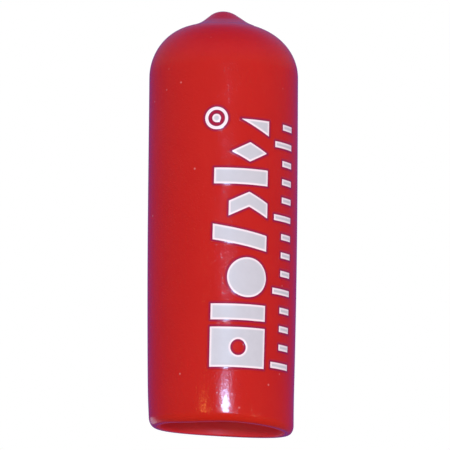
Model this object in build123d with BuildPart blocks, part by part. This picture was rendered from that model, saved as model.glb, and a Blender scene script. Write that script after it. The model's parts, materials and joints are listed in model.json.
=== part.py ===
"""Soft vinyl tip cap for a rod antenna, with its printed marks.

The cap is one dip-moulded shell: a straight bore, a rounded closed end with a drip point, and a side
wall that thins towards the open end. The marks are separate islands of ink that lie on the wall.

Millimetres. The origin is the centre of the open end, +Z runs along the bore to the drip point, and the
printed side faces -Y.
"""

from build123d import *
import math
import os

# --- Shell: driving dimensions ---
bore_diameter = 12.7  # half-inch rod
bore_length = 36.4  # straight stretch, from the open end to where the cavity rounds in
shoulder_wall = 1.5  # side wall under the dome
rim_wall = 1.17  # side wall at the open end, where the dip drained thin
end_wall = 2.8  # closed end, without the drip point
straight_length = 11.5  # stretch of wall under the dome that doesn't taper
crown_flat = 2.4  # radius of the flat top of the dome and of the cavity

# --- Open end ---
lip_round = 0.6  # outer edge, rounded by surface tension
mouth_round = 0.15  # inner edge, nearly sharp against the former

# --- Drip point at the closed end ---
drip_height = 1.77  # above the dome
drip_tip_radius = 2.35
drip_slope = 37.5  # degrees from horizontal
drip_root = 3.4  # radius of the drip point's foot, which lies inside the dome
drip_blend = 2.7  # hollow radius where it runs out into the dome

# --- Ink ---
ink_thickness = 0.05
rim_margin = 5.6  # bare wall between the open end and the prints
dome_margin = 4.7  # bare wall between the prints and the dome
large_height = 5.95  # large marks, measured round the wall
large_offset = 1.8  # middle of the large marks, round the wall from the middle of the front
mark_gap = 0.75  # between neighbours in the large row
corner_round = 0.12
row_gap = 1.0  # between the large and the fine marks, round the wall
fine_height = 3.0
fine_short_height = 1.8
fine_width = 0.62
fine_count = 14
fine_group = 4  # every fourth fine mark is a tall one
ring_diameter = 2.4
ring_stroke = 0.32
ring_dot_diameter = 0.9
ring_offset = -1.0  # middle of the ring, round the wall from the middle of the front

# --- Worked out from the above ---
bore_radius = bore_diameter / 2
outer_radius = bore_radius + shoulder_wall
rim_radius = bore_radius + rim_wall
dome_foot = bore_length + end_wall - shoulder_wall
dome_top = dome_foot + outer_radius - crown_flat
taper_top = dome_foot - straight_length
cavity_top = bore_length + bore_radius - crown_flat
drip_top = dome_top + drip_height
ring_middle = dome_foot - dome_margin - ring_diameter / 2
print_low = rim_margin
print_high = ring_middle  # both rows end level with the middle of the ring
fine_offset = large_offset + large_height / 2 + row_gap + fine_height / 2


# --- Half sections, drawn with x as the radius and y as the height ---


def wall_outline(extra=0.0):
    """The side wall's outside, from the axis outwards and `extra` larger in radius."""
    foot = (outer_radius + extra, dome_foot)
    taper_start = (outer_radius + extra, taper_top)
    rim = (rim_radius + extra, 0)
    straight_down = (0, -1)
    inwards = (-2 * (outer_radius - rim_radius), -taper_top)  # the slope that an even curve ends with
    with BuildSketch() as outline:
        with BuildLine():
            Polyline((0, 0), (0, dome_foot), foot, taper_start)
            Spline(taper_start, rim, tangents=[straight_down, inwards])
            Line(rim, (0, 0))
        make_face()
    return outline.sketch


def round_end(radius, low, high):
    """A closed end from `low` to `high`: a corner arc that rises from `radius`, and a flat top."""
    with BuildSketch() as outline:
        with BuildLine():
            TangentArc((radius, low), (crown_flat, high), tangent=(0, 1))
            Polyline((crown_flat, high), (0, high), (0, low), (radius, low))
        make_face()
    return outline.sketch


def drip_outline():
    """The drip point: a round tip on a short cone whose foot is buried in the dome."""
    slope = math.radians(drip_slope)
    tip_edge = (
        drip_tip_radius * math.sin(slope),
        drip_top - drip_tip_radius * (1 - math.cos(slope)),
    )
    root = (drip_root, tip_edge[1] - (drip_root - tip_edge[0]) * math.tan(slope))
    with BuildSketch() as outline:
        with BuildLine():
            TangentArc((0, drip_top), tip_edge, tangent=(1, 0))
            Polyline(tip_edge, root, (drip_root, dome_foot), (0, dome_foot), (0, drip_top))
        make_face()
    return outline.sketch


def outside_outline():
    """Wall, dome and drip point as one outline, with the drip blend and the lip rounded."""
    with BuildSketch() as outline:
        add(wall_outline())
        add(round_end(outer_radius, dome_foot, dome_top))
        add(drip_outline())
        above_dome_foot = outline.vertices().filter_by_position(
            Axis.Y, dome_foot, drip_top, inclusive=(False, False)
        )
        fillet(above_dome_foot.sort_by(Axis.X)[-1], drip_blend)
        fillet(outline.vertices().group_by(Axis.Y)[0].sort_by(Axis.X)[-1], lip_round)
    return outline.sketch


def cavity_outline():
    """The straight bore and the rounded end of the cavity."""
    with BuildSketch() as outline:
        Rectangle(bore_radius, bore_length, align=Align.MIN)
        add(round_end(bore_radius, bore_length, cavity_top))
    return outline.sketch


# --- Shell ---

with BuildPart() as cap_shell:
    with BuildSketch(Plane.XZ):
        add(outside_outline())
        add(cavity_outline(), mode=Mode.SUBTRACT)
    revolve(axis=Axis.Z)
    rim_edges = cap_shell.edges().filter_by(GeomType.CIRCLE).group_by(Axis.Z)[0]
    fillet(rim_edges.sort_by(SortBy.RADIUS)[0], mouth_round)

# --- Ink: a thin layer on the wall, from which each mark is cut ---

with BuildPart() as ink_layer:
    with BuildSketch(Plane.XZ):
        add(wall_outline(ink_thickness))
        add(wall_outline(), mode=Mode.SUBTRACT)
    revolve(axis=Axis.Z)


def print_plane(offset):
    """Plane along the axis, `offset` round the wall from the front: x runs up the cap, z outwards."""
    turn = offset / outer_radius
    outwards = (math.sin(turn), -math.cos(turn), 0)
    return Plane(origin=(0, 0, 0), x_dir=(0, 0, 1), z_dir=outwards)


def ink(outline, offset):
    """The part of the ink layer that lies under an outline drawn on the print plane."""
    with BuildPart() as mark:
        with BuildSketch(print_plane(offset).offset(bore_radius)):
            add(outline)
        extrude(amount=outer_radius)
        add(ink_layer.part, mode=Mode.INTERSECT)
    return mark.part


# --- Outlines of the large marks, each centred and filling length by height ---


def rounded(points):
    """A straight-sided outline with slightly rounded corners."""
    with BuildSketch() as mark:
        with BuildLine():
            Polyline(*points, close=True)
        make_face()
        fillet(mark.vertices(), corner_round)
    return mark.sketch


def bar(length, height):
    x, y = length / 2, height / 2
    return rounded([(-x, -y), (x, -y), (x, y), (-x, y)])


def block(length, height):
    """A bar with a round window."""
    window = length / 5
    with BuildSketch() as mark:
        add(bar(length, height))
        Circle(window, mode=Mode.SUBTRACT)
    return mark.sketch


def oval(length, height):
    with BuildSketch() as mark:
        Ellipse(length / 2, height / 2)
    return mark.sketch


def slant(length, height):
    """A bar that leans towards the closed end."""
    x, y, foot = length / 2, height / 2, length * 0.62
    return rounded([(-x, -y), (-x + foot, -y), (x, y), (x - foot, y)])


def chevron(length, height):
    """A broad arrowhead that points to the closed end."""
    x, y, limb = length / 2, height / 2, length * 0.6
    return rounded([(-x, -y), (-x + limb, -y), (x, 0), (-x + limb, y), (-x, y), (x - limb, 0)])


def lozenge(length, height):
    x, y = length / 2, height / 2
    return rounded([(-x, 0), (0, -y), (x, 0), (0, y)])


def wedge(length, height):
    """A triangle on its base."""
    x, y = length / 2, height / 2
    return rounded([(-x, -y), (x, -y), (x, y)])


# Name, outline, and the length and height that it takes as shares of the row. A short mark stands on
# the row's foot, on the side of the fine marks, and the last one leaves room for the ring above it.
large_row = [
    ("mark_block", block, 0.20, 1.00),
    ("mark_low_bar", bar, 0.08, 1.00),
    ("mark_oval", oval, 0.20, 0.74),
    ("mark_slant", slant, 0.13, 1.00),
    ("mark_chevron", chevron, 0.13, 0.74),
    ("mark_high_bar", bar, 0.08, 1.00),
    ("mark_lozenge", lozenge, 0.10, 0.74),
    ("mark_wedge", wedge, 0.08, 0.62),
]


def large_marks():
    """Each large mark by name, laid end to end from the open end towards the dome."""
    shares = sum(share for _, _, share, _ in large_row)
    room = print_high - print_low - mark_gap * (len(large_row) - 1)
    start = print_low
    marks = {}
    for name, draw, length_share, height_share in large_row:
        length = room * length_share / shares
        height = large_height * height_share
        with BuildSketch() as outline:
            with Locations((start + length / 2, (height - large_height) / 2)):
                add(draw(length, height))
        marks[name] = ink(outline.sketch, large_offset)
        start += length + mark_gap
    return marks


def ring_outline():
    """A ring round a dot."""
    with BuildSketch() as mark:
        with Locations((ring_middle, 0)):
            Circle(ring_diameter / 2)
            Circle(ring_diameter / 2 - ring_stroke, mode=Mode.SUBTRACT)
            Circle(ring_dot_diameter / 2)
    return mark.sketch


def fine_outline():
    """A scale of short marks, with a tall one to start each group."""
    pitch = (print_high - print_low - fine_width) / (fine_count - 1)
    with BuildSketch() as mark:
        for number in range(fine_count):
            height = fine_short_height if number % fine_group else fine_height
            middle = print_low + fine_width / 2 + number * pitch
            with Locations((middle, (height - fine_height) / 2)):
                Rectangle(fine_width, height)
    return mark.sketch


pieces = {
    "cap_shell": cap_shell.part,
    **large_marks(),
    "mark_ring": ink(ring_outline(), ring_offset),
    "fine_marks": ink(fine_outline(), fine_offset),
}

os.makedirs("parts", exist_ok=True)
for name, piece in pieces.items():
    piece.label = name
    export_step(piece, f"parts/{name}.step")
    print(name, "solids", len(piece.solids()), "volume", round(piece.volume, 3))
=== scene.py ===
# %% [markdown]
# # A soft vinyl cap for the tip of a rod
#
# The real cap is dip moulded. A hot steel former, the size of the rod, is lowered tip down into liquid
# vinyl, and what sticks to it cures into one seamless skin. That explains every shape in this lesson: the
# bore is exact, because it touched the steel. The outside is soft and a little uneven, because it was
# liquid. The last drop left a point on the closed end, and the wall is thinner towards the open end.
#
# The cap comes from the CAD frame at its real size. Here it gets the surface of the real thing, and the
# marks get the look of ink.

# %% Load the fixed frame
import json
import math

import bmesh
import bpy
import numpy as np
from mathutils import Matrix, Vector


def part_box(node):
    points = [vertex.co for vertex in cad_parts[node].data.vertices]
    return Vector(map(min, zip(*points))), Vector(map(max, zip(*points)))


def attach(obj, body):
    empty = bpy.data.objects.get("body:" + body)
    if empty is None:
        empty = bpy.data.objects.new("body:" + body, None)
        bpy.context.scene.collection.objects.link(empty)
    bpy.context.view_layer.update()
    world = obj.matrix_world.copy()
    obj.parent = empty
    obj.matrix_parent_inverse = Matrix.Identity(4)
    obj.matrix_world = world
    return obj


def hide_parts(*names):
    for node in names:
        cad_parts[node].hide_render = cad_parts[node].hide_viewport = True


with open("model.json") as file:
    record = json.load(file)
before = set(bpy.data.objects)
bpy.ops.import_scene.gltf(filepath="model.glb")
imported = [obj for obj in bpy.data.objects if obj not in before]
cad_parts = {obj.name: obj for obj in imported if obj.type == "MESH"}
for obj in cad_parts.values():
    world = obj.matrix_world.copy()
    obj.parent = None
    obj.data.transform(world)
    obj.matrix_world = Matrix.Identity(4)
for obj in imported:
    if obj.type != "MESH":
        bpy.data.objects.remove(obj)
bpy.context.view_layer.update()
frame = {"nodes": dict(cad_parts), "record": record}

mm = 0.001
print("nodes:", sorted(frame["nodes"]))

# %% [markdown]
# ## Camera
#
# A long lens, far from a small object, keeps both sides of the cap parallel. The camera stands lower
# than the open end, so that it looks a little way up into the bore, and it is turned by half a degree
# because the cap leans that much.

# %% Aim the camera
tip_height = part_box("cap_shell")[1].z / mm
camera_distance = 450
camera_below_rim = 62.65
frame_width = 47.1  # what the picture covers, at the cap
aim_side = 0.27
aim_height = 22.03
camera_lean = math.radians(0.475)

aim = Vector((aim_side, 0, aim_height)) * mm
camera_place = Vector((aim_side, -camera_distance, -camera_below_rim)) * mm
sight_line = aim - camera_place

camera_data = bpy.data.cameras.new("camera")
camera_data.sensor_width = 36
camera_data.lens = camera_data.sensor_width * sight_line.length / (frame_width * mm)
camera_data.clip_start = 0.01
camera_data.clip_end = 100
camera = bpy.data.objects.new("camera", camera_data)
lean = Matrix.Rotation(camera_lean, 4, "Z")
camera.matrix_world = (
    Matrix.Translation(camera_place) @ sight_line.to_track_quat("-Z", "Y").to_matrix().to_4x4() @ lean
)
bpy.context.scene.collection.objects.link(camera)
bpy.context.scene.camera = camera
print("lens, mm:", round(camera_data.lens, 1))

# %% [markdown]
# ## The half section
#
# A body of revolution is its half section, turned round the axis. The outside starts at the drip point,
# runs over the dome and down the wall to the lip, and the inside runs from the mouth up the bore to the
# rounded end of the cavity. The frame gives the overall sizes, and the rest are the sizes that the cap
# was designed with.

# %% Sizes of the section, in millimetres
rod_bore = next(mount for mount in frame["record"]["mounts"] if mount["name"] == "rod_bore")
outer_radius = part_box("cap_shell")[1].x / mm
bore_radius = rod_bore["dims"]["r_mm"]
mouth_round = 0.15
inside_edge = 0.3  # how far out from the bore the rim still looks like the inside
lip_round = 0.6
lip_height = 0.95  # the lip rounds in from higher up than it is round, as a drop would
rim_radius = bore_radius + 1.17
straight_length = 11.5
crown_flat = 2.4
drip_height = 1.77
drip_tip_radius = 2.35
drip_slope = math.radians(37.5)
drip_root = 3.4  # radius of the drip point's foot, which lies inside the dome
drip_blend = 0.71  # how far the two surfaces are apart where the hollow between them ends

corner_radius = outer_radius - crown_flat
dome_foot = tip_height - drip_height - corner_radius
taper_top = dome_foot - straight_length
cavity_foot = mouth_round + rod_bore["dims"]["length_mm"]
cavity_round = bore_radius - crown_flat
print("dome starts at", round(dome_foot, 2), "and the cavity rounds in at", round(cavity_foot, 2))


# %% The outside, as formulas
def wall_radius(height):
    """Outside radius of the side wall, which thins in an even curve towards the open end."""
    drop = np.clip((taper_top - height) / taper_top, 0, 1)
    return outer_radius - (outer_radius - rim_radius) * drop**2


def smooth_max(one, other, reach):
    """The larger of two heights, with the corner between them filled where they are within `reach`."""
    fill = np.maximum(reach - np.abs(one - other), 0)
    return np.maximum(one, other) + fill**2 / (4 * reach)


def closed_end(radius):
    """Height of the closed end over the open one: a dome, with the drip point blended into it."""
    beyond_flat = np.clip(radius - crown_flat, 0, corner_radius)
    dome = dome_foot + np.sqrt(corner_radius**2 - beyond_flat**2)
    tip_edge = drip_tip_radius * math.sin(drip_slope)
    ball = tip_height - drip_tip_radius + np.sqrt(np.maximum(drip_tip_radius**2 - radius**2, 0))
    edge_height = tip_height - drip_tip_radius * (1 - math.cos(drip_slope))
    past_root = np.maximum(radius - drip_root, 0)  # out there the cone dives under the dome
    cone = edge_height - (radius - tip_edge) * math.tan(drip_slope) - past_root**2
    return smooth_max(dome, np.where(radius < tip_edge, ball, cone), drip_blend)


# %% The whole outline, from the drip point round to the top of the cavity
def arc(centre, radii, start, end, steps):
    """Points on an arc of the half section. Angles are in degrees, and 0 points away from the axis."""
    angles = np.radians(np.linspace(start, end, steps))
    return np.stack([centre[0] + radii[0] * np.cos(angles), centre[1] + radii[1] * np.sin(angles)], 1)


crown = np.linspace(0, crown_flat, 24)
corner = arc((crown_flat, dome_foot), (corner_radius, corner_radius), 90, 0, 64)[:, 0]
dome_radii = np.concatenate([crown, corner[1:]])
wall_heights = np.linspace(dome_foot, lip_height, 120)[1:]
lip_centre = (wall_radius(lip_height) - lip_round, lip_height)
mouth_centre = (bore_radius + mouth_round, mouth_round)
outline = np.concatenate(
    [
        np.stack([dome_radii, closed_end(dome_radii)], 1),
        np.stack([wall_radius(wall_heights), wall_heights], 1),
        arc(lip_centre, (lip_round, lip_height), 0, -90, 16)[1:],
        np.linspace((lip_centre[0], 0), (mouth_centre[0], 0), 5)[1:-1],
        arc(mouth_centre, (mouth_round, mouth_round), 270, 180, 5),
        np.linspace((bore_radius, mouth_round), (bore_radius, cavity_foot), 60)[1:],
        arc((crown_flat, cavity_foot), (cavity_round, cavity_round), 0, 90, 20)[1:],
        np.linspace((crown_flat, cavity_foot + cavity_round), (0, cavity_foot + cavity_round), 6)[1:],
    ]
)
print("points in the half section:", len(outline))

# %% [markdown]
# ## What dipping does to the shape
#
# Liquid vinyl doesn't cure into a perfect body of revolution. The open end is a little out of square, its
# lip is wavy, the crown tilts, and the wall is slightly oval. One function moves any point of the ideal
# cap to its real place. The shell and the ink both go through it, so the ink stays on the wall.

# %% Uneven, as dipped
rim_slant = 0.71  # how much higher the lip is on the left than on the right
rim_rise = (0.08, 0.35)  # how much higher it is at the front, and at the back, than at the sides
rim_push = (0.085, 0.245)  # how far the soft end is pushed to the right, and to the back
rim_reach = 5.0  # how far up the wall all this fades out
rim_dip = (0.2, -28, 26)  # how deep one dip in its front edge is, and where and how wide, in degrees
crown_tilt = math.radians(1.2)
tilt_grows = (2.5, 5.0)  # radius where the tilt begins, and where it is whole
tip_lean = 0.1  # how far the very tip leans to the left
tip_reach = 1.2  # how far down from the tip it leans
ovality = 0.02
wobble = 0.01  # the same with three sides, turning as it climbs


def fade(value, start, end):
    """0 before start, 1 after end, and smooth between."""
    share = np.clip((value - start) / (end - start), 0, 1)
    return share * share * (3 - 2 * share)


def as_dipped(points):
    """Moves points of the ideal cap, in millimetres, to where the real one has them."""
    x, y, z = points.T
    angle = np.arctan2(x, -y)
    near_rim = 1 - fade(z, 0, rim_reach)
    bent = np.clip(1 - z / rim_reach, 0, 1) ** 2
    in_crown = fade(z, dome_foot, dome_foot + corner_radius)
    slant = rim_slant * (rim_radius - x) / (2 * rim_radius)
    front, back = rim_rise
    rise = np.where(np.abs(angle) < math.pi / 2, front, back) * np.cos(angle) ** 2
    depth, place, width = rim_dip
    dip = depth * np.exp(-(((np.degrees(angle) - place) / width) ** 2))
    oval = ovality * np.cos(2 * angle + 0.6) * (1 - in_crown) + wobble * np.sin(3 * angle + z / 9)
    radius = np.maximum(np.hypot(x, y), 1e-6)
    grown = 1 + oval * np.clip(radius / bore_radius, 0, 1) / radius
    tilt = x * math.tan(crown_tilt) * in_crown * fade(radius, *tilt_grows)
    height = z + near_rim * (slant + rise - dip) - tilt
    side = x * grown + bent * rim_push[0] - tip_lean * fade(z, tip_height - tip_reach, tip_height)
    return np.stack([side, y * grown + bent * rim_push[1], height], 1)


# %% Turn the outline into the shell
def spin_outline(points, turns):
    """A closed mesh from a half section that starts and ends on the axis."""
    shape = bmesh.new()
    ring = [shape.verts.new((radius, 0, height)) for radius, height in points]
    edges = [shape.edges.new(pair) for pair in zip(ring, ring[1:])]
    bmesh.ops.spin(
        shape,
        geom=ring + edges,
        cent=(0, 0, 0),
        axis=(0, 0, 1),
        angle=math.tau,
        steps=turns,
        use_duplicate=False,
    )
    bmesh.ops.remove_doubles(shape, verts=shape.verts, dist=1e-5)
    bmesh.ops.recalc_face_normals(shape, faces=shape.faces)
    return shape


def finished_object(name, shape):
    """Moves a bmesh to its dipped shape, in metres, and makes it a smooth-shaded object."""
    mesh = bpy.data.meshes.new(name)
    shape.to_mesh(mesh)
    shape.free()
    places = np.empty(len(mesh.vertices) * 3)
    mesh.vertices.foreach_get("co", places)
    mesh.vertices.foreach_set("co", (as_dipped(places.reshape(-1, 3)) * mm).ravel())
    mesh.shade_smooth()
    mesh.update()
    made = bpy.data.objects.new(name, mesh)
    bpy.context.scene.collection.objects.link(made)
    return made


def mark_inside(shell):
    """Notes on each point of the shell whether it is on the inside, for the material to use."""
    x, y, z = np.array([vertex.co for vertex in shell.data.vertices]).T / mm
    in_bore = (np.hypot(x, y) < bore_radius + inside_edge) & (z < dome_foot)
    mask = shell.data.attributes.new("inside", "FLOAT", "POINT")
    mask.data.foreach_set("value", in_bore.astype(np.float32))


vinyl_shell = finished_object("vinyl_shell", spin_outline(outline, 256))
mark_inside(vinyl_shell)
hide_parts("cap_shell")
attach(vinyl_shell, "root")
print("shell faces:", len(vinyl_shell.data.polygons))

# %% [markdown]
# ## Ink
#
# The marks are screen printed: a film thinner than a hair, with a slightly thicker ridge along its edge,
# where the ink drew itself together before it dried. Round each mark the film reaches on in a narrow
# border, which the material makes a darker crimson. Each mark is described by its distance function,
# which is negative inside the mark and gives how far the nearest edge is. That one number does three jobs.
# It says which cells of a fine grid belong to the film, it gives the film its ridge, and it stays on the
# mesh for the material to use.

# %% Distance to the edge of a mark
def polygon_distance(x, y, corners):
    """Signed distance from each point to a closed outline, negative inside it."""
    nearest = np.full(x.shape, np.inf)
    inside = np.zeros(x.shape, bool)
    for (ax, ay), (bx, by) in zip(corners, corners[1:] + corners[:1]):
        along = ((x - ax) * (bx - ax) + (y - ay) * (by - ay)) / ((bx - ax) ** 2 + (by - ay) ** 2)
        along = np.clip(along, 0, 1)
        nearest = np.minimum(nearest, np.hypot(x - ax - along * (bx - ax), y - ay - along * (by - ay)))
        if ay != by:
            crosses = ((ay > y) != (by > y)) & (x < (bx - ax) * (y - ay) / (by - ay) + ax)
            inside ^= crosses
    return np.where(inside, -nearest, nearest)


def straight_sided(corners):
    """Distance function of a mark with these corners."""
    return lambda x, y: polygon_distance(x, y, corners)


# %% Shapes of the marks: x runs up the cap, y round the wall, and each fills the size it is given
def bar(x, y):
    return straight_sided([(-x, -y), (x, -y), (x, y), (-x, y)])


def block(x, y):
    """A bar with a round window."""
    frame_edge = bar(x, y)
    window = x * 2 / 5
    return lambda u, v: np.maximum(frame_edge(u, v), window - np.hypot(u, v))


def oval(x, y):
    turns = np.linspace(0, math.tau, 72, endpoint=False)
    return straight_sided([(x * math.cos(turn), y * math.sin(turn)) for turn in turns])


def slant(x, y):
    foot = x * 2 * 0.62
    return straight_sided([(-x, -y), (-x + foot, -y), (x, y), (x - foot, y)])


def chevron(x, y):
    limb = x * 2 * 0.6
    return straight_sided([(-x, -y), (-x + limb, -y), (x, 0), (-x + limb, y), (-x, y), (x - limb, 0)])


def lozenge(x, y):
    return straight_sided([(-x, 0), (0, -y), (x, 0), (0, y)])


def wedge(x, y):
    return straight_sided([(-x, -y), (x, -y), (x, y)])


def ring(x, y):
    """A ring round a dot."""
    stroke, dot = x * 0.27, x * 0.375

    def distance(u, v):
        out = np.hypot(u, v)
        return np.minimum(np.abs(out - x + stroke / 2) - stroke / 2, out - dot)

    return distance


# %% Where each mark lies on the wall
print_lean = math.radians(0.88)  # the print runs this much off the axis
print_pivot = 18.2  # height at which that lean moves nothing
row_top = 31.8  # height at which both rows end
large_fit = {"right": 0.11, "width": 0.955, "length": 0.991}  # how the print came out, to how it was drawn
fine_fit = {"right": 0.0, "width": 0.86, "length": 0.982}


def printed_area(node):
    """Middle and half size of a mark: up the cap, and round the wall with left as positive."""
    low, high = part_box(node)
    middle_height = (low.z + high.z) / 2 / mm
    radius = float(wall_radius(middle_height))
    left, right = (-math.asin(edge.x / mm / radius) * outer_radius for edge in (low, high))
    fit = fine_fit if node == "fine_marks" else large_fit
    middle = (row_top - (row_top - middle_height) * fit["length"], (left + right) / 2 - fit["right"])
    return middle, ((high.z - low.z) / 2 / mm * fit["length"], (left - right) / 2 * fit["width"])


def onto_wall(up, round_left, lift):
    """Points on the wall, lifted off it, from a height and a distance round it."""
    side = (up - print_pivot) * math.sin(print_lean) - round_left
    radius = wall_radius(up)
    angle = side / outer_radius  # the cap is printed rolling, so the marks narrow with the wall
    return np.stack([(radius + lift) * np.sin(angle), -(radius + lift) * np.cos(angle), up], 1)


print("block lies at", [round(value, 2) for pair in printed_area("mark_block") for value in pair])

# %% Print a mark as a film
grid_pitch = 0.08
film_thickness = 0.03
ridge_thickness = 0.018
ridge_place = 0.13  # middle of the ridge, in from the edge
edge_roll = 0.07  # width over which the film rises from the wall
dark_border_thickness = 0.004
film_root = 0.02  # how deep the film keys into the vinyl
dark_border_reach = 0.3  # how far the darker crimson border reaches round each mark


def film_height(inside):
    """Thickness of the film at a distance in from the mark's edge, which is negative on the dark border.
    """
    rolled = np.sqrt(1 - (1 - np.clip(inside / edge_roll, 0, 1)) ** 2)
    ridge = ridge_thickness * np.exp(-(((inside - ridge_place) / ridge_place) ** 2))
    return dark_border_thickness + rolled * (film_thickness + ridge)


def snapped(x, y, distance):
    """Moves grid points that are near the outer edge of a mark's dark border exactly onto it."""
    step = grid_pitch / 20
    away = distance(x, y) - dark_border_reach
    slope_x = (distance(x + step, y) - distance(x - step, y)) / (2 * step)
    slope_y = (distance(x, y + step) - distance(x, y - step)) / (2 * step)
    near = away > -grid_pitch * 0.4
    return np.where(near, x - slope_x * away, x), np.where(near, y - slope_y * away, y), near


def film_grid(distance, half_up, half_round):
    """Grid points and cells that cover a mark and its dark border, in its own flat coordinates."""
    margin = dark_border_reach + grid_pitch
    columns = int((half_up + margin) * 2 / grid_pitch) + 1
    rows = int((half_round + margin) * 2 / grid_pitch) + 1
    x, y = np.meshgrid(
        np.linspace(-half_up - margin, half_up + margin, columns),
        np.linspace(-half_round - margin, half_round + margin, rows),
        indexing="ij",
    )
    middle_x = (x[1:, 1:] + x[:-1, :-1]) / 2
    middle_y = (y[1:, 1:] + y[:-1, :-1]) / 2
    kept = distance(middle_x, middle_y) < dark_border_reach
    number = np.arange(columns * rows).reshape(columns, rows)
    cells = np.stack([number[:-1, :-1], number[1:, :-1], number[1:, 1:], number[:-1, 1:]], -1)[kept]
    return x.ravel(), y.ravel(), cells


def film_mesh(patches):
    """One closed bmesh from the films of several patches, with the distance to the edge kept on it."""
    shape = bmesh.new()
    to_edge = shape.verts.layers.float.new("to_edge")
    for distance, middle, half in patches:
        x, y, cells = film_grid(distance, *half)
        used, cells = np.unique(cells, return_inverse=True)
        cells = cells.reshape(-1, 4)
        x, y, near = snapped(x[used], y[used], distance)
        inside = np.where(near, -dark_border_reach, -distance(x, y))
        layers = []
        for lift in (film_height(inside), np.full(len(x), -film_root)):
            places = onto_wall(middle[0] + x, middle[1] + y, lift)
            layers.append([shape.verts.new(place) for place in places])
            for vertex, depth in zip(layers[-1], inside):
                vertex[to_edge] = depth
        top, bottom = layers
        for cell in cells:
            shape.faces.new([top[corner] for corner in cell])
            shape.faces.new([bottom[corner] for corner in reversed(cell)])
        sides = {}
        for cell in cells:
            for start, end in zip(cell, np.roll(cell, -1)):
                if (end, start) in sides:
                    del sides[(end, start)]
                else:
                    sides[(start, end)] = True
        for start, end in sides:
            shape.faces.new([top[end], top[start], bottom[start], bottom[end]])
    bmesh.ops.recalc_face_normals(shape, faces=shape.faces)
    return shape


# %% All the large marks, and the ring
large_marks = {
    "mark_block": block,
    "mark_low_bar": bar,
    "mark_oval": oval,
    "mark_slant": slant,
    "mark_chevron": chevron,
    "mark_high_bar": bar,
    "mark_lozenge": lozenge,
    "mark_wedge": wedge,
    "mark_ring": ring,
}
ink_films = []
for node, draw in large_marks.items():
    middle, half = printed_area(node)
    film = finished_object(node.replace("mark_", "ink_"), film_mesh([(draw(*half), middle, half)]))
    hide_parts(node)
    ink_films.append(film)
print("large films:", len(ink_films), "faces:", sum(len(film.data.polygons) for film in ink_films))

# %% The scale of fine marks, as one piece
fine_count = 14
fine_group = 4
fine_width = 0.62
fine_short_share = 0.6

(fine_up, fine_round), (fine_half_up, fine_half_round) = printed_area("fine_marks")
fine_pitch = (2 * fine_half_up - fine_width) / (fine_count - 1)
fine_patches = []
for number in range(fine_count):
    share = fine_short_share if number % fine_group else 1
    half = (fine_width / 2, fine_half_round * share)
    foot = fine_round - fine_half_round * (1 - share)
    middle = (fine_up - fine_half_up + fine_width / 2 + number * fine_pitch, foot)
    fine_patches.append((bar(*half), middle, half))
fine_film = finished_object("ink_fine_marks", film_mesh(fine_patches))
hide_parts("fine_marks")
ink_films.append(fine_film)

for film in ink_films:
    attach(film, "root")
print("fine marks:", len(fine_patches))

# %% [markdown]
# ## Effects that both materials share
#
# Vinyl and ink come from the same dusty workshop, so both have specks, and both are a little uneven in
# colour. Each effect is a node group with named sockets, built once and used with other values.


# %% A helper for node groups
def new_group(name, inputs, outputs):
    """An empty shader group with float inputs, given with their defaults, and named outputs."""
    group = bpy.data.node_groups.new(name, "ShaderNodeTree")
    for socket, default in inputs.items():
        made = group.interface.new_socket(socket, in_out="INPUT", socket_type="NodeSocketFloat")
        made.default_value = default
    for socket in outputs:
        group.interface.new_socket(socket, in_out="OUTPUT", socket_type="NodeSocketFloat")
    return group, group.nodes.new("NodeGroupInput"), group.nodes.new("NodeGroupOutput")


def math_node(tree, operation, first, second=0.0, clamp=False):
    """A Math node, with each operand a socket or a number."""
    node = tree.nodes.new("ShaderNodeMath")
    node.operation = operation
    node.use_clamp = clamp
    for socket, value in zip(node.inputs, (first, second)):
        if isinstance(value, (int, float)):
            socket.default_value = value
        else:
            tree.links.new(value, socket)
    return node.outputs[0]


# %% Mottle: slow changes of tone
def build_mottle():
    """A mask that drifts between 0 and 1 over about `Size` millimetres."""
    group, given, result = new_group("mottle", {"Size": 3.0, "Contrast": 1.0}, ["Mask"])
    place = group.nodes.new("ShaderNodeTexCoord")
    noise = group.nodes.new("ShaderNodeTexNoise")
    noise.inputs["Detail"].default_value = 4
    noise.inputs["Roughness"].default_value = 0.55
    group.links.new(place.outputs["Object"], noise.inputs["Vector"])
    group.links.new(math_node(group, "DIVIDE", 1 / mm, given.outputs["Size"]), noise.inputs["Scale"])
    centred = math_node(group, "SUBTRACT", noise.outputs["Fac"], 0.5)
    scaled = math_node(group, "MULTIPLY", centred, given.outputs["Contrast"])
    group.links.new(math_node(group, "ADD", scaled, 0.5, clamp=True), result.inputs["Mask"])
    return group


mottle = build_mottle()


# %% Specks: rare round dots
def build_specks():
    """A mask of round dots, `Spacing` apart in millimetres, of which only `Share` are there."""
    group, given, result = new_group("specks", {"Spacing": 2.0, "Radius": 0.1, "Share": 0.3}, ["Mask"])
    place = group.nodes.new("ShaderNodeTexCoord")
    cells = group.nodes.new("ShaderNodeTexVoronoi")
    group.links.new(place.outputs["Object"], cells.inputs["Vector"])
    group.links.new(math_node(group, "DIVIDE", 1 / mm, given.outputs["Spacing"]), cells.inputs["Scale"])
    reach = math_node(group, "DIVIDE", given.outputs["Radius"], given.outputs["Spacing"])
    rounded_off = group.nodes.new("ShaderNodeMapRange")
    rounded_off.interpolation_type = "SMOOTHSTEP"
    rounded_off.inputs["From Max"].default_value = 0
    group.links.new(cells.outputs["Distance"], rounded_off.inputs["Value"])
    group.links.new(reach, rounded_off.inputs["From Min"])
    dot = rounded_off.outputs["Result"]
    split = group.nodes.new("ShaderNodeSeparateColor")
    group.links.new(cells.outputs["Color"], split.inputs["Color"])
    chosen = math_node(group, "LESS_THAN", split.outputs["Red"], given.outputs["Share"])
    group.links.new(math_node(group, "MULTIPLY", dot, chosen), result.inputs["Mask"])
    return group


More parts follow.
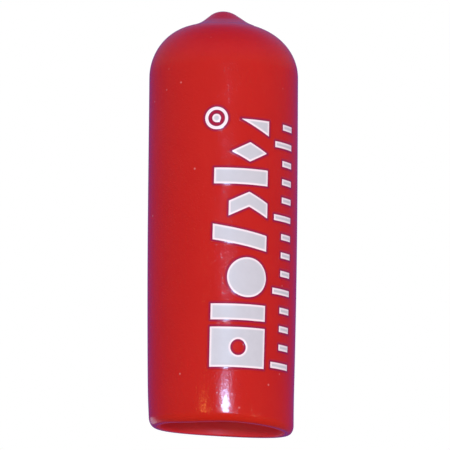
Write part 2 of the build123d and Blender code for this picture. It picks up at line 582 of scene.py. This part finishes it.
specks = build_specks()
print("groups:", [group.name for group in bpy.data.node_groups])


# %% Helpers for materials
def new_material(name):
    material = bpy.data.materials.new(name)
    material.use_nodes = True
    shader = material.node_tree.nodes["Principled BSDF"]
    return material, material.node_tree, shader


def place_group(tree, group, **values):
    """A copy of a shared effect in a material, with its own values."""
    node = tree.nodes.new("ShaderNodeGroup")
    node.node_tree = group
    for socket, value in values.items():
        node.inputs[socket].default_value = value
    return node.outputs[0]


def blended(tree, amount, first, second):
    """A colour that goes from first to second. Each is a socket, or a colour."""
    node = tree.nodes.new("ShaderNodeMix")
    node.data_type = "RGBA"
    tree.links.new(amount, node.inputs["Factor"])
    for socket, value in zip((node.inputs[6], node.inputs[7]), (first, second)):
        if isinstance(value, tuple):
            socket.default_value = (*value, 1)
        else:
            tree.links.new(value, socket)
    return node.outputs[2]


def mixed_shader(tree, amount, first, second):
    """A shader that goes from first to second."""
    node = tree.nodes.new("ShaderNodeMixShader")
    for socket, source in zip(node.inputs, (amount, first, second)):
        tree.links.new(source, socket)
    return node.outputs[0]


def bumped(tree, height, depth, after=None):
    """A normal from a height mask, `depth` millimetres deep, on top of an earlier normal."""
    node = tree.nodes.new("ShaderNodeBump")
    node.inputs["Distance"].default_value = depth * mm
    node.inputs["Strength"].default_value = 1
    tree.links.new(height, node.inputs["Height"])
    if after:
        tree.links.new(after, node.inputs["Normal"])
    return node.outputs["Normal"]


# %% [markdown]
# ## Red vinyl
#
# Dipped vinyl is red all the way through and lets a little light in, so its shadows stay warm. Its skin is
# glossy, but not like a lacquer: it cured without touching anything, and it has a faint orange peel, fine
# grains that sparkle, a few pits from bubbles and some dust. They break the reflection of a lamp into a
# soft streak with a bright core. The inside is duller, because the former left its own surface on it, and
# its red is painted lighter than the outside: painted light that lifts the shade in the bore.

# %% Build the vinyl
def build_vinyl():
    material, tree, shader = new_material("red_vinyl")
    clouds = place_group(tree, mottle, Size=5.0, Contrast=1.6)
    pits = place_group(tree, specks, Spacing=1.7, Radius=0.13, Share=0.16)
    dust = place_group(tree, specks, Spacing=1.5, Radius=0.16, Share=0.26)
    peel = place_group(tree, mottle, Size=0.28, Contrast=1.5)
    grains = place_group(tree, specks, Spacing=0.27, Radius=0.11, Share=0.75)
    swell = place_group(tree, mottle, Size=2.2, Contrast=1.0)

    red = blended(tree, clouds, (0.53, 0.0115, 0.0020), (0.57, 0.0140, 0.0030))
    dusty = blended(tree, math_node(tree, "MULTIPLY", dust, 0.45), red, (0.9, 0.45, 0.42))
    inside = tree.nodes.new("ShaderNodeAttribute")
    inside.attribute_name = "inside"
    # The inside is painted a lighter red than the outside: painted light for the shaded bore.
    base_with_painted_inside_light = blended(tree, inside.outputs["Fac"], dusty, (0.76, 0.012, 0.022))
    tree.links.new(base_with_painted_inside_light, shader.inputs["Base Color"])

    rough = math_node(tree, "ADD", math_node(tree, "MULTIPLY", clouds, 0.03), 0.145)
    rough = math_node(tree, "ADD", math_node(tree, "MULTIPLY", inside.outputs["Fac"], 0.3), rough)
    tree.links.new(rough, shader.inputs["Roughness"])
    shader.inputs["IOR"].default_value = 1.5
    shader.inputs["Subsurface Weight"].default_value = 0.2
    shader.inputs["Subsurface Radius"].default_value = (1.0, 0.12, 0.08)
    shader.inputs["Subsurface Scale"].default_value = 0.8 * mm

    normal = bumped(tree, swell, 0.004)
    normal = bumped(tree, peel, 0.013, normal)
    normal = bumped(tree, grains, 0.011, normal)
    normal = bumped(tree, math_node(tree, "SUBTRACT", dust, pits), 0.02, normal)
    tree.links.new(normal, shader.inputs["Normal"])
    return material


vinyl_shell.data.materials.append(build_vinyl())

# %% [markdown]
# ## Ink
#
# The ink is a pale grey with a hint of violet, and its ridge is painted lighter than its middle: a painted
# highlight along the edge. The distance that each film carries tells the material where the ridge is, and
# where the dark border begins.

# %% Build the ink
def build_ink():
    material, tree, shader = new_material("light_ink")
    depth = tree.nodes.new("ShaderNodeAttribute")
    depth.attribute_name = "to_edge"

    def from_edge(start, end, curve="LINEAR"):
        """0 where the distance in from the edge is `start`, 1 where it is `end`."""
        node = tree.nodes.new("ShaderNodeMapRange")
        node.interpolation_type = curve
        node.inputs["From Min"].default_value = start
        node.inputs["From Max"].default_value = end
        tree.links.new(depth.outputs["Fac"], node.inputs["Value"])
        return node.outputs["Result"]

    ridge = from_edge(0.27, 0.1, "SMOOTHSTEP")
    covered = from_edge(-0.012, 0.012)
    darkened = from_edge(-dark_border_reach, -0.06)
    clouds = place_group(tree, mottle, Size=0.9, Contrast=1.2)
    grain = place_group(tree, mottle, Size=0.12, Contrast=1.0)
    pinholes = place_group(tree, specks, Spacing=0.6, Radius=0.07, Share=0.12)

    fill = blended(tree, clouds, (0.57, 0.545, 0.61), (0.63, 0.60, 0.67))
    # The ridge is painted a lighter pink than the fill: a painted highlight along each mark's edge.
    fill_with_painted_ridge_highlight = blended(tree, ridge, fill, (0.97, 0.80, 0.87))
    holed = blended(tree, math_node(tree, "MULTIPLY", pinholes, 0.5), fill_with_painted_ridge_highlight, (0.6, 0.12, 0.11))
    # A narrow border round each mark, darker crimson-violet towards the mark.
    dark_border = blended(tree, darkened, (0.55, 0.0125, 0.0025), (0.26, 0.002, 0.055))
    tree.links.new(blended(tree, covered, dark_border, holed), shader.inputs["Base Color"])
    rough = math_node(tree, "ADD", math_node(tree, "MULTIPLY", grain, 0.1), 0.26)
    rough = math_node(tree, "ADD", math_node(tree, "MULTIPLY", rough, covered), 0.16)
    tree.links.new(rough, shader.inputs["Roughness"])
    shader.inputs["Coat Weight"].default_value = 0.1
    shader.inputs["Coat Roughness"].default_value = 0.3
    normal = bumped(tree, grain, 0.003)
    tree.links.new(normal, shader.inputs["Normal"])
    return material


light_ink = build_ink()
for film in ink_films:
    film.data.materials.append(light_ink)
print("materials:", [material.name for material in bpy.data.materials])

# %% [markdown]
# ## Light
#
# One small bright lamp stands near the camera, like a flash. Its reflection on a cylinder is a thin
# upright streak. Three weaker lamps make fainter reflections: two warm ones at the sides, and a broad one
# behind. These four show only in the gloss. Two more light the colours and stay out of the gloss: the
# key, which shines from the flash's place, and a panel that keeps the back from going dark.

# %% Lamps
def lamp(name, azimuth, elevation, distance, size, power, colour=(1, 1, 1), height=20):
    """A disc of light that faces the cap. Azimuth 0 is in front and 90 on the right, in degrees."""
    data = bpy.data.lights.new(name, "AREA")
    data.shape = "DISK"
    data.size = size * mm
    data.energy = power
    data.color = colour
    target = Vector((0, 0, height)) * mm
    turn, rise = math.radians(azimuth), math.radians(elevation)
    towards = Vector((math.sin(turn) * math.cos(rise), -math.cos(turn) * math.cos(rise), math.sin(rise)))
    made = bpy.data.objects.new(name, data)
    made.matrix_world = (
        Matrix.Translation(target + towards * distance * mm)
        @ (-towards).to_track_quat("-Z", "Y").to_matrix().to_4x4()
    )
    bpy.context.scene.collection.objects.link(made)
    return made


flash_place = {"azimuth": 6.9, "elevation": -3.3, "distance": 450, "height": 1.3}
flash = lamp("flash", size=28, power=1.25, colour=(0.36, 0.64, 1), **flash_place)
left_lamp = lamp("left_lamp", -28, -8, distance=600, size=34, power=0.2, colour=(1, 0.45, 0.1))
right_lamp = lamp("right_lamp", 54, -12, distance=500, size=34, power=0.08, colour=(1, 0.7, 0.45))
back_lamp = lamp("back_lamp", -150, -12, distance=500, size=220, power=0.09, colour=(0.9, 0.92, 1))
for shine in (flash, left_lamp, right_lamp, back_lamp):
    shine.visible_diffuse = False

key = lamp("key", size=40, power=0.8, **flash_place)
back_panel = lamp("back_panel", 180, 20, distance=450, size=200, power=1.5)
for fill in (key, back_panel):
    fill.visible_glossy = False

# %% [markdown]
# ## Room and floor
#
# The background is plain white for the camera. What the gloss reflects is a darker room with a violet
# cast, bluest straight behind the cap. What lights the cap softly is neutral, and weaker from above, from
# below and from behind. The floor shows only from above, so a camera that is lower than the cap still
# sees it against white. It fades to white a little way out, so it has no horizon.

# %% Room
def build_room():
    world = bpy.data.worlds.new("room")
    world.use_nodes = True
    tree = world.node_tree
    tree.nodes.clear()
    rays = tree.nodes.new("ShaderNodeLightPath")
    output = tree.nodes.new("ShaderNodeOutputWorld")

    def background(colour, strength):
        node = tree.nodes.new("ShaderNodeBackground")
        node.inputs["Color"].default_value = (*colour, 1)
        node.inputs["Strength"].default_value = strength
        return node.outputs[0]

    place = tree.nodes.new("ShaderNodeTexCoord")
    split = tree.nodes.new("ShaderNodeSeparateXYZ")
    tree.links.new(place.outputs["Generated"], split.inputs[0])
    height = math_node(tree, "ADD", math_node(tree, "MULTIPLY", split.outputs["Z"], 0.5), 0.5)
    ramp = tree.nodes.new("ShaderNodeValToRGB")
    tree.links.new(height, ramp.inputs["Fac"])
    stops = ramp.color_ramp.elements
    stops[0].color = (0.10, 0.07, 0.12, 1)
    stops[1].color = (0.20, 0.07, 0.42, 1)
    for position, colour in (
        (0.40, (0.16, 0.11, 0.20)),
        (0.50, (0.10, 0.08, 0.27)),
        (0.58, (0.08, 0.05, 0.28)),
        (0.68, (0.33, 0.23, 0.42)),
        (0.86, (0.26, 0.20, 0.58)),
    ):
        stops.new(position).color = (*colour, 1)

    soft = background((1, 1, 1), 1.0)
    strength = 0.87
    for axis, sign, loss in (("Z", 1, 0.45), ("Z", -1, 0.35), ("Y", 1, 0.7)):
        towards = math_node(tree, "MULTIPLY", split.outputs[axis], sign, clamp=True)
        strength = math_node(tree, "SUBTRACT", strength, math_node(tree, "MULTIPLY", towards, loss))
    tree.links.new(strength, soft.node.inputs["Strength"])
    reflected = background((1, 1, 1), 1.0)
    behind = math_node(tree, "MULTIPLY", split.outputs["Y"], 1.2)
    off_level = math_node(tree, "MULTIPLY", math_node(tree, "ABSOLUTE", split.outputs["Z"]), 1.4)
    level_behind = math_node(tree, "SUBTRACT", behind, off_level, clamp=True)
    tinted = blended(tree, level_behind, ramp.outputs["Color"], (0.10, 0.07, 0.40))
    tree.links.new(tinted, reflected.node.inputs["Color"])
    seen = background((1, 1, 1), 1.0)
    not_seen = mixed_shader(tree, rays.outputs["Is Glossy Ray"], soft, reflected)
    either = mixed_shader(tree, rays.outputs["Is Camera Ray"], not_seen, seen)
    tree.links.new(either, output.inputs["Surface"])
    bpy.context.scene.world = world


build_room()
bpy.context.scene.view_settings.view_transform = "Standard"


# %% Floor
floor_radius = 3.0  # in metres
floor_fade = (20, 120)  # how far out it starts to fade, and where it is white, in millimetres


def build_floor():
    """A pale sheet that catches shadows, fades to white, and doesn't block the light from below."""
    shape = bmesh.new()
    bmesh.ops.create_circle(shape, cap_ends=True, segments=96, radius=floor_radius)
    mesh = bpy.data.meshes.new("floor")
    shape.to_mesh(mesh)
    shape.free()
    floor = bpy.data.objects.new("floor", mesh)
    bpy.context.scene.collection.objects.link(floor)
    material, tree, shader = new_material("pale_floor")
    shader.inputs["Base Color"].default_value = (0.93, 0.93, 0.94, 1)
    shader.inputs["Roughness"].default_value = 1
    shader.inputs["Specular IOR Level"].default_value = 0
    place = tree.nodes.new("ShaderNodeTexCoord")
    out = tree.nodes.new("ShaderNodeVectorMath")
    out.operation = "LENGTH"
    tree.links.new(place.outputs["Object"], out.inputs[0])
    far = tree.nodes.new("ShaderNodeMapRange")
    far.interpolation_type = "SMOOTHSTEP"
    far.inputs["From Min"].default_value = floor_fade[0] * mm
    far.inputs["From Max"].default_value = floor_fade[1] * mm
    tree.links.new(out.outputs["Value"], far.inputs["Value"])
    white = tree.nodes.new("ShaderNodeEmission")
    fading = mixed_shader(tree, far.outputs["Result"], shader.outputs[0], white.outputs[0])
    face = tree.nodes.new("ShaderNodeNewGeometry")
    clear = tree.nodes.new("ShaderNodeBsdfTransparent")
    either = mixed_shader(tree, face.outputs["Backfacing"], fading, clear.outputs[0])
    tree.links.new(either, tree.nodes["Material Output"].inputs["Surface"])
    mesh.materials.append(material)
    floor.visible_shadow = False
    floor.visible_diffuse = False
    floor.visible_glossy = False
    return floor


build_floor()
